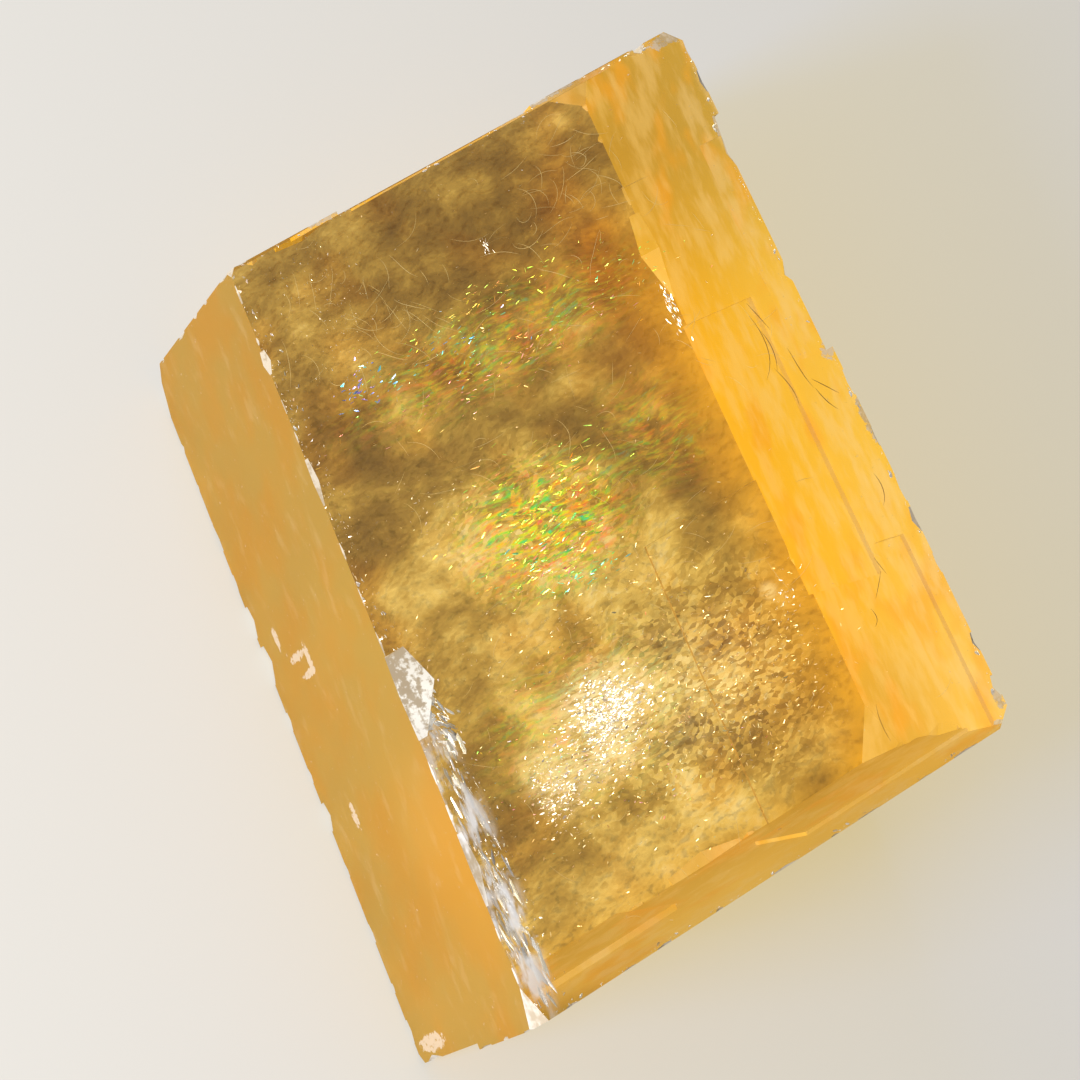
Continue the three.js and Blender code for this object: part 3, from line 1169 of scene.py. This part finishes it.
@dataclass(frozen=True)
class FlakeCloud:
    """A family of flakes inside the crystal."""

    name: str
    seed: int
    patches: tuple[FlakePatch, ...]
    thickness: float = 0.03 * MM
    margin: float = 0.08 * MM
    variants: int = 6
    variant_step: float = 3.7
    rim: int = 6
    ragged: float = 1.3
    ragged_scale: float = 2.2
    ragged_octaves: float = 2.0
    short_bias: int = 2
    width_range: tuple[float, float] = (0.6, 1.5)

    def build(self, cleavage: CleavageFrame, inside: Inside, finish: bpy.types.Material) -> bpy.types.Object:
        """Grow the flakes.

        Args:
            cleavage: the crystal's frame.
            inside: the test that keeps every flake in the crystal.
            finish: the flakes' material.

        Returns:
            One object of closed flakes.
        """
        draw = np.random.default_rng(self.seed)
        rows = [row for patch in self.patches for row in self._rows(patch, draw, cleavage, inside)]
        return self.grow(rows, finish)

    def grow(self, rows: Sequence[FlakeRow], finish: bpy.types.Material) -> bpy.types.Object:
        """Turn drawn flakes into one object.

        Args:
            rows: the flakes.
            finish: their material.

        Returns:
            One object of closed flakes.
        """
        seeds = bpy.data.meshes.new(f"{self.name}_points")
        seeds.from_pydata([row.place for row in rows], [], [])
        for label, kind, field, values in (
            ("turn", "FLOAT_VECTOR", "vector", [row.turn() for row in rows]),
            ("size", "FLOAT_VECTOR", "vector", [(row.length, row.width, self.thickness) for row in rows]),
            ("film", "FLOAT", "value", [row.film for row in rows]),
            ("vivid", "FLOAT", "value", [row.vivid for row in rows]),
        ):
            seeds.attributes.new(label, kind, "POINT").data.foreach_set(field, np.ravel(values))
        return self._tree().grow(self.name, seeds, {"Seed": self.seed, "Finish": finish})

    def _rows(
        self, patch: FlakePatch, draw: np.random.Generator, cleavage: CleavageFrame, inside: Inside
    ) -> list[FlakeRow]:
        """Draw the flakes of one patch.

        Args:
            patch: the patch.
            draw: the seeded source of random numbers.
            cleavage: the crystal's frame.
            inside: the test that keeps every flake in the crystal.

        Returns:
            Every flake that fits.
        """
        rows = []
        for _ in range(patch.count):
            seen = np.array([patch.short, patch.long, patch.depth]) + draw.normal(size=3) * patch.spread
            short, long, depth = (float(value) * MM for value in np.abs(seen))
            place = cleavage.seen(short, long, depth)
            normal = (patch.facing + Vector(draw.normal(size=3) * patch.scatter)).normalized()
            way = math.cos(patch.heading) * cleavage.short_way + math.sin(patch.heading) * cleavage.long_way
            along = way + Vector(draw.normal(size=3) * patch.wander)
            low, high = patch.length
            length = float(low + (high - low) * draw.random() ** self.short_bias) * MM
            width = length * patch.slim * float(draw.uniform(*self.width_range))
            row = FlakeRow.facing(place, normal, along, length, width)
            film, vivid = float(draw.uniform(*patch.film)), float(draw.uniform(*patch.vivid))
            if row.fits(inside, self.margin):
                rows.append(row.coloured(film, vivid))
        return rows

    def _tree(self) -> GrowthTree:
        """Make the tree that puts a ragged closed flake on every point.

        Returns:
            The tree.
        """
        growth = GrowthTree(f"{self.name}_growth", {"Seed": "NodeSocketInt", "Finish": "NodeSocketMaterial"})
        sheet, given = growth.sheet, growth.given
        spot = sheet.place("GeometryNodeInputPosition", {}, {})[0]
        shapes = []
        for variant in range(self.variants):
            disc = sheet.place("GeometryNodeMeshUVSphere", {}, {"Segments": self.rim, "Rings": 2, "Radius": 0.5})[0]
            stir = sheet.place("ShaderNodeTexNoise", {"noise_dimensions": "4D"}, {
                "Vector": spot, "W": self.variant_step * variant,
                "Scale": self.ragged_scale, "Detail": self.ragged_octaves,
            })["Color"]
            centred = sheet.place("ShaderNodeVectorMath", {"operation": "SUBTRACT"}, {
                0: stir, 1: (0.5, 0.5, 0.5),
            })[0]
            offset = sheet.place("ShaderNodeVectorMath", {"operation": "MULTIPLY"}, {
                0: centred, 1: (self.ragged, self.ragged, 0.0),
            })[0]
            shapes.append(sheet.place("GeometryNodeSetPosition", {}, {"Geometry": disc, "Offset": offset})[0])
        choices = sheet.place("GeometryNodeGeometryToInstance", {}, {"Geometry": shapes})[0]
        pick = sheet.place("FunctionNodeRandomValue", {"data_type": "INT"}, {
            "Seed": given["Seed"], 4: 0, 5: self.variants - 1,
        })[2]
        turn = sheet.place("GeometryNodeInputNamedAttribute", {"data_type": "FLOAT_VECTOR"}, {"Name": "turn"})[0]
        size = sheet.place("GeometryNodeInputNamedAttribute", {"data_type": "FLOAT_VECTOR"}, {"Name": "size"})[0]
        growth.close(sheet.place("GeometryNodeInstanceOnPoints", {}, {
            "Points": given["Geometry"], "Instance": choices, "Pick Instance": True, "Instance Index": pick,
            "Rotation": sheet.place("FunctionNodeEulerToRotation", {}, {0: turn})[0], "Scale": size,
        })[0])
        return growth


RAINBOW = FlakeCloud("rainbow_flakes", 11, (
    FlakePatch(19.6, 36.5, 6.0, (4.2, 2.6, 1.0), 320, (0.10, 1.0), 0.16, (0.46, 0.80), (0.8, 1.0), 0.35, 0.2),
    FlakePatch(17.0, 41.0, 6.0, (3.2, 2.0, 1.0), 180, (0.10, 0.9), 0.16, (0.32, 0.60), (0.8, 1.0), 0.35, 0.2),
    FlakePatch(19.5, 42.3, 6.0, (2.4, 1.2, 1.0), 110, (0.10, 0.9), 0.16, (0.80, 1.00), (0.7, 1.0), 0.35, 0.2),
    FlakePatch(20.8, 44.9, 5.0, (2.2, 0.6, 1.0), 90, (0.10, 0.8), 0.16, (0.28, 0.46), (0.8, 1.0), 0.35, 0.2),
    FlakePatch(22.0, 16.0, 4.0, (5.0, 1.5, 1.0), 150, (0.10, 0.8), 0.15, (0.48, 0.78), (0.8, 1.0), 0.4, 0.25),
    FlakePatch(7.4, 17.2, 3.5, (1.5, 1.2, 1.0), 70, (0.10, 0.8), 0.30, (0.00, 0.24), (0.8, 1.0), 0.4, 0.25),
    FlakePatch(15.0, 18.5, 3.5, (4.0, 1.4, 1.0), 90, (0.10, 0.6), 0.20, (0.10, 0.45), (0.6, 1.0), 0.4, 0.25),
    FlakePatch(22.0, 22.5, 4.0, (8.0, 1.2, 1.0), 200, (0.10, 0.8), 0.14, (0.66, 1.00), (0.6, 1.0), 0.4, 0.2),
    FlakePatch(34.0, 19.5, 4.0, (4.0, 2.2, 1.0), 90, (0.10, 0.6), 0.20, (0.40, 0.66), (0.6, 1.0), 0.4, 0.25),
    FlakePatch(13.0, 58.0, 4.0, (6.5, 4.0, 1.0), 360, (0.08, 0.4), 0.25, (0.15, 1.00), (0.5, 1.0), 0.4, 0.4),
    FlakePatch(24.0, 66.0, 4.0, (5.0, 3.0, 1.0), 90, (0.08, 0.4), 0.25, (0.00, 1.00), (0.4, 1.0), 0.4, 0.5),
))
BRIGHT = FlakeCloud("white_flakes", 12, (
    FlakePatch(17.0, 57.2, 4.0, (2.2, 1.4, 0.5), 1300, (0.08, 0.55), 0.35, (0.75, 1.0), (0.0, 0.2), 0.26, 0.3),
    FlakePatch(15.0, 61.0, 4.0, (2.6, 1.4, 0.5), 420, (0.08, 0.45), 0.32, (0.65, 1.0), (0.0, 0.3), 0.32, 0.3),
    FlakePatch(9.6, 61.0, 4.0, (1.2, 1.8, 0.5), 520, (0.08, 0.45), 0.32, (0.75, 1.0), (0.0, 0.25), 0.30, 0.3),
    FlakePatch(36.8, 56.6, 2.5, (0.6, 0.6, 0.4), 30, (0.10, 0.4), 0.3, (0.8, 1.0), (0.0, 0.1), 0.2),
    FlakePatch(24.3, 10.7, 2.5, (0.20, 0.7, 0.3), 30, (0.10, 0.4), 0.3, (0.8, 1.0), (0.0, 0.1), 0.2, 0.3, 1.2),
    FlakePatch(38.8, 26.0, 3.0, (0.3, 1.6, 0.4), 70, (0.10, 0.7), 0.25, (0.6, 1.0), (0.0, 0.1), 0.25, 0.2, 1.6),
    FlakePatch(12.5, 46.0, 5.0, (3.5, 3.0, 1.0), 80, (0.10, 0.35), 0.25, (0.3, 0.9), (0.0, 0.2), 0.6),
    FlakePatch(9.8, 31.6, 5.0, (2.6, 2.2, 1.0), 80, (0.10, 0.35), 0.25, (0.5, 1.0), (0.0, 0.2), 0.6),
    FlakePatch(7.0, 8.0, 3.0, (2.6, 4.0, 1.0), 260, (0.08, 0.30), 0.25,
        (0.5, 1.0), (0.0, 0.2), 0.8, 0.4, 1.2, facing=UP),
    FlakePatch(24.0, 40.0, 4.0, (11.0, 20.0, 1.5), 110, (0.08, 0.3), 0.25, (0.6, 1.0), (0.0, 0.1), 0.6),
))
GOLD = FlakeCloud("gold_flakes", 13, (
    FlakePatch(22.0, 40.0, 10.0, (11.0, 20.0, 3.5), 400, (0.10, 0.5), 0.2, (0.0, 0.25), (0.0, 0.2), 0.8, facing=UP),
    FlakePatch(31.0, 61.0, 7.0, (4.5, 4.5, 2.0), 700, (0.10, 0.5), 0.25, (0.0, 0.3), (0.0, 0.2), 0.45),
    FlakePatch(18.0, 65.0, 7.0, (7.0, 4.5, 2.0), 450, (0.10, 0.5), 0.25, (0.0, 0.5), (0.0, 0.2), 0.5),
    FlakePatch(20.0, 48.0, 7.0, (6.0, 5.0, 2.0), 350, (0.10, 0.6), 0.20, (0.0, 0.3), (0.0, 0.25), 0.55),
))
SILVER = FlakeCloud("silver_flakes", 14, (
    FlakePatch(1.5, 47.0, 0.8, (0.5, 1.6, 0.2), 60, (0.4, 2.0), 0.40,
        (0.8, 1.0), (0.0, 0.05), 0.16, 0.4, 1.2, facing=UP),
    FlakePatch(2.8, 50.0, 0.8, (0.4, 1.8, 0.2), 50, (0.3, 1.6), 0.20,
        (0.8, 1.0), (0.0, 0.05), 0.20, 0.3, 1.0, facing=UP),
    FlakePatch(1.8, 57.0, 0.9, (0.6, 4.0, 0.3), 50, (0.6, 2.6), 0.14,
        (0.5, 1.0), (0.0, 0.15), 0.15, 0.10, 1.5, facing=UP),
    FlakePatch(1.4, 68.0, 0.9, (0.7, 5.0, 0.3), 100, (0.6, 3.0), 0.14,
        (0.6, 1.0), (0.0, 0.10), 0.15, 0.10, 1.5, facing=UP),
    FlakePatch(2.4, 60.0, 1.2, (0.8, 9.0, 0.3), 260, (0.08, 0.4), 0.40,
        (0.5, 1.0), (0.0, 0.20), 0.30, 0.8, 1.5, facing=UP),
    FlakePatch(1.0, 24.0, 0.6, (0.5, 12.0, 0.3), 160, (0.10, 0.5), 0.30,
        (0.6, 1.0), (0.0, 0.20), 0.40, 0.6, 1.5, facing=UP),
))


@dataclass(frozen=True)
class ThreadPatch:
    """Fine threads of one place, by where they show through the upper face; lengths in millimetres."""

    short: float
    long: float
    depth: float
    spread: tuple[float, float, float]
    count: int
    length: tuple[float, float]
    curl: float
    heading: float
    fan: float
    girth: float


@dataclass(frozen=True)
class ThreadCloud:
    """A family of thin threads inside the crystal."""

    name: str
    seed: int
    finish: PlainFinish
    patches: tuple[ThreadPatch, ...]
    steps: int = 9
    margin: float = 0.1 * MM
    sides: int = 5
    tip_girth: tuple[float, float] = (0.7, 0.4)
    sink: float = 0.25
    bend_change: float = 0.5

    def build(self, cleavage: CleavageFrame, inside: Inside) -> bpy.types.Object:
        """Grow the threads.

        Args:
            cleavage: the crystal's frame.
            inside: the test that keeps every thread in the crystal.

        Returns:
            One object of closed tubes.
        """
        draw = np.random.default_rng(self.seed)
        first, rest = self.tip_girth
        shares = [math.sin(math.pi * (step + first) / (self.steps + rest)) for step in range(self.steps)]
        points, edges, girths = [], [], []
        for patch in self.patches:
            for _ in range(patch.count):
                path = self._path(patch, draw, cleavage)
                if all(inside.holds(point, self.margin) for point in path):
                    edges += [(len(points) + step, len(points) + step + 1) for step in range(self.steps - 1)]
                    points += path
                    girths += [patch.girth * MM * share for share in shares]
        paths = bpy.data.meshes.new(f"{self.name}_paths")
        paths.from_pydata(points, edges, [])
        paths.attributes.new("girth", "FLOAT", "POINT").data.foreach_set("value", girths)
        return self._tree().grow(self.name, paths, {"Finish": self.finish.build()})

    def _path(self, patch: ThreadPatch, draw: np.random.Generator, cleavage: CleavageFrame) -> list[Vector]:
        """Draw one thread.

        Args:
            patch: where the thread lies.
            draw: the seeded source of random numbers.
            cleavage: the crystal's frame.

        Returns:
            The points along it.
        """
        short, long, depth = np.array([patch.short, patch.long, patch.depth]) + draw.normal(size=3) * patch.spread
        heading = patch.heading + draw.normal() * patch.fan
        bend = draw.normal() * patch.curl
        step = draw.uniform(*patch.length) / (self.steps - 1)
        sink = draw.normal() * self.sink
        path = []
        for _ in range(self.steps):
            path.append(cleavage.seen(float(short) * MM, float(long) * MM, float(abs(depth)) * MM))
            bend += draw.normal() * patch.curl * self.bend_change
            heading += bend
            short += math.cos(heading) * step
            long += math.sin(heading) * step
            depth += sink * step
        return path

    def _tree(self) -> GrowthTree:
        """Make the tree that gives every path a round, closed tube.

        Returns:
            The tree.
        """
        growth = GrowthTree(f"{self.name}_growth", {"Finish": "NodeSocketMaterial"})
        sheet = growth.sheet
        line = sheet.place("GeometryNodeMeshToCurve", {}, {"Mesh": growth.given["Geometry"]})[0]
        girth = sheet.place("GeometryNodeInputNamedAttribute", {"data_type": "FLOAT"}, {"Name": "girth"})[0]
        ring = sheet.place("GeometryNodeCurvePrimitiveCircle", {}, {"Resolution": self.sides, "Radius": 1.0})[0]
        growth.close(sheet.place("GeometryNodeCurveToMesh", {}, {
            "Curve": line, "Profile Curve": ring, "Scale": girth, "Fill Caps": True,
        })[0])
        return growth


PALE_THREADS = ThreadCloud("pale_threads", 21, PlainFinish("pale_thread", (0.70, 0.56, 0.28), 0.5), (
    ThreadPatch(34.0, 10.0, 4.0, (4.0, 3.5, 1.2), 50, (1.5, 5.0), 0.12, 0.4, 1.2, 0.020),
    ThreadPatch(9.8, 10.0, 4.0, (4.0, 4.5, 1.2), 50, (1.5, 5.0), 0.10, 0.9, 0.8, 0.020),
    ThreadPatch(24.0, 30.0, 6.0, (10.0, 10.0, 2.0), 110, (1.2, 4.5), 0.07, -0.2, 0.9, 0.018),
    ThreadPatch(22.0, 56.0, 6.0, (10.0, 9.0, 2.0), 90, (1.2, 4.0), 0.07, -0.2, 0.9, 0.018),
))
DARK_CRACKS = ThreadCloud("dark_cracks", 22, PlainFinish("dark_crack", (0.16, 0.065, 0.012), 0.6), (
    ThreadPatch(46.2, 34.0, 0.5, (0.6, 2.5, 0.15), 7, (3.0, 7.0), 0.05, 1.35, 0.2, 0.035),
    ThreadPatch(48.4, 45.0, 0.5, (0.6, 3.0, 0.15), 8, (3.0, 8.0), 0.05, 1.35, 0.25, 0.040),
    ThreadPatch(49.4, 55.0, 0.5, (0.4, 2.5, 0.15), 6, (2.0, 6.0), 0.06, 1.4, 0.3, 0.035),
    ThreadPatch(45.0, 64.0, 0.5, (1.5, 4.0, 0.15), 5, (1.5, 4.0), 0.06, 1.4, 0.5, 0.028),
))


@dataclass(frozen=True)
class EdgeBruises:
    """Tiny white bruises just under the surface, all along the crystal's sharp upper edges."""

    spacing: float = 0.55 * MM
    sharp: float = 0.6
    inset: tuple[float, float] = (0.12, 0.45)
    length: tuple[float, float] = (0.10, 0.65)
    short_bias: int = 3
    slim: tuple[float, float] = (0.25, 0.6)
    film: tuple[float, float] = (0.6, 1.0)
    vivid: tuple[float, float] = (0.0, 0.12)
    wander: float = 0.6
    outer: float = 0.8 * MM
    upper: float = 1.5 * MM
    seed: int = 31

    def rows(
        self, crystal: bpy.types.Object, cleavage: CleavageFrame, inside: Inside, margin: float
    ) -> list[FlakeRow]:
        """Draw the bruises.

        Args:
            crystal: the crystal whose edges they follow.
            cleavage: its frame.
            inside: the test that keeps every bruise in the crystal.
            margin: the least distance to the surface.

        Returns:
            The flakes.
        """
        draw = np.random.default_rng(self.seed)
        work = bmesh.new()
        work.from_mesh(crystal.data)
        found = []
        for edge in work.edges:
            first, second = (vertex.co.copy() for vertex in edge.verts)
            middle = (first + second) / 2
            inner = cleavage.side_depth(middle) > self.outer
            if edge.calc_face_angle(0.0) < self.sharp or inner or middle.z < cleavage.corner.z - self.upper:
                continue
            faces = [face.normal.copy() for face in edge.link_faces]
            for _ in range(draw.poisson((second - first).length / self.spacing)):
                face = faces[int(draw.integers(2))]
                away = (faces[0] + faces[1]).normalized()
                depth = float(draw.uniform(*self.inset)) * MM
                spot = first.lerp(second, float(draw.random())) - away * depth
                along = (second - first).normalized() + Vector(draw.normal(size=3) * self.wander)
                low, high = self.length
                length = float(low + (high - low) * draw.random() ** self.short_bias) * MM
                row = FlakeRow.facing(spot, face, along, length, length * float(draw.uniform(*self.slim)))
                if row.fits(inside, margin):
                    film, vivid = float(draw.uniform(*self.film)), float(draw.uniform(*self.vivid))
                    found.append(row.coloured(film, vivid))
        work.free()
        return found


def take_in(piece: bpy.types.Object) -> None:
    """Let a piece ride with the crystal, and report it.

    Args:
        piece: the finished piece.
    """
    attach(piece, BODY)
    LOG.info("%s: %d faces", piece.name, len(piece.data.polygons))


def write_sizes() -> None:
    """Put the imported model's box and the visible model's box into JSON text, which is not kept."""
    boxes = {"cad": CAD_BOX, "visual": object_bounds()}
    json.dumps({name: [list(corner) for corner in box] for name, box in boxes.items()})


def main() -> None:
    """Build the scene piece by piece."""
    logging.basicConfig(level=logging.INFO)
    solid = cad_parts[NODE]
    cleavage = CleavageFrame.of_mesh(solid.data)
    PhotoCamera().build(cleavage)
    Studio().build()
    crystal = Crystal(cleavage).build(solid)
    take_in(crystal)
    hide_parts(NODE)
    inside = Inside(crystal)
    film = FilmFlake().build()
    for cloud in (RAINBOW, BRIGHT, GOLD, SILVER):
        take_in(cloud.build(cleavage, inside, film))
    bruises = FlakeCloud("edge_bruises", 15, ())
    take_in(bruises.grow(EdgeBruises().rows(crystal, cleavage, inside, bruises.margin / 3), film))
    for threads in (PALE_THREADS, DARK_CRACKS):
        take_in(threads.build(cleavage, inside))
    write_sizes()


if __name__ == "__main__":
    main()
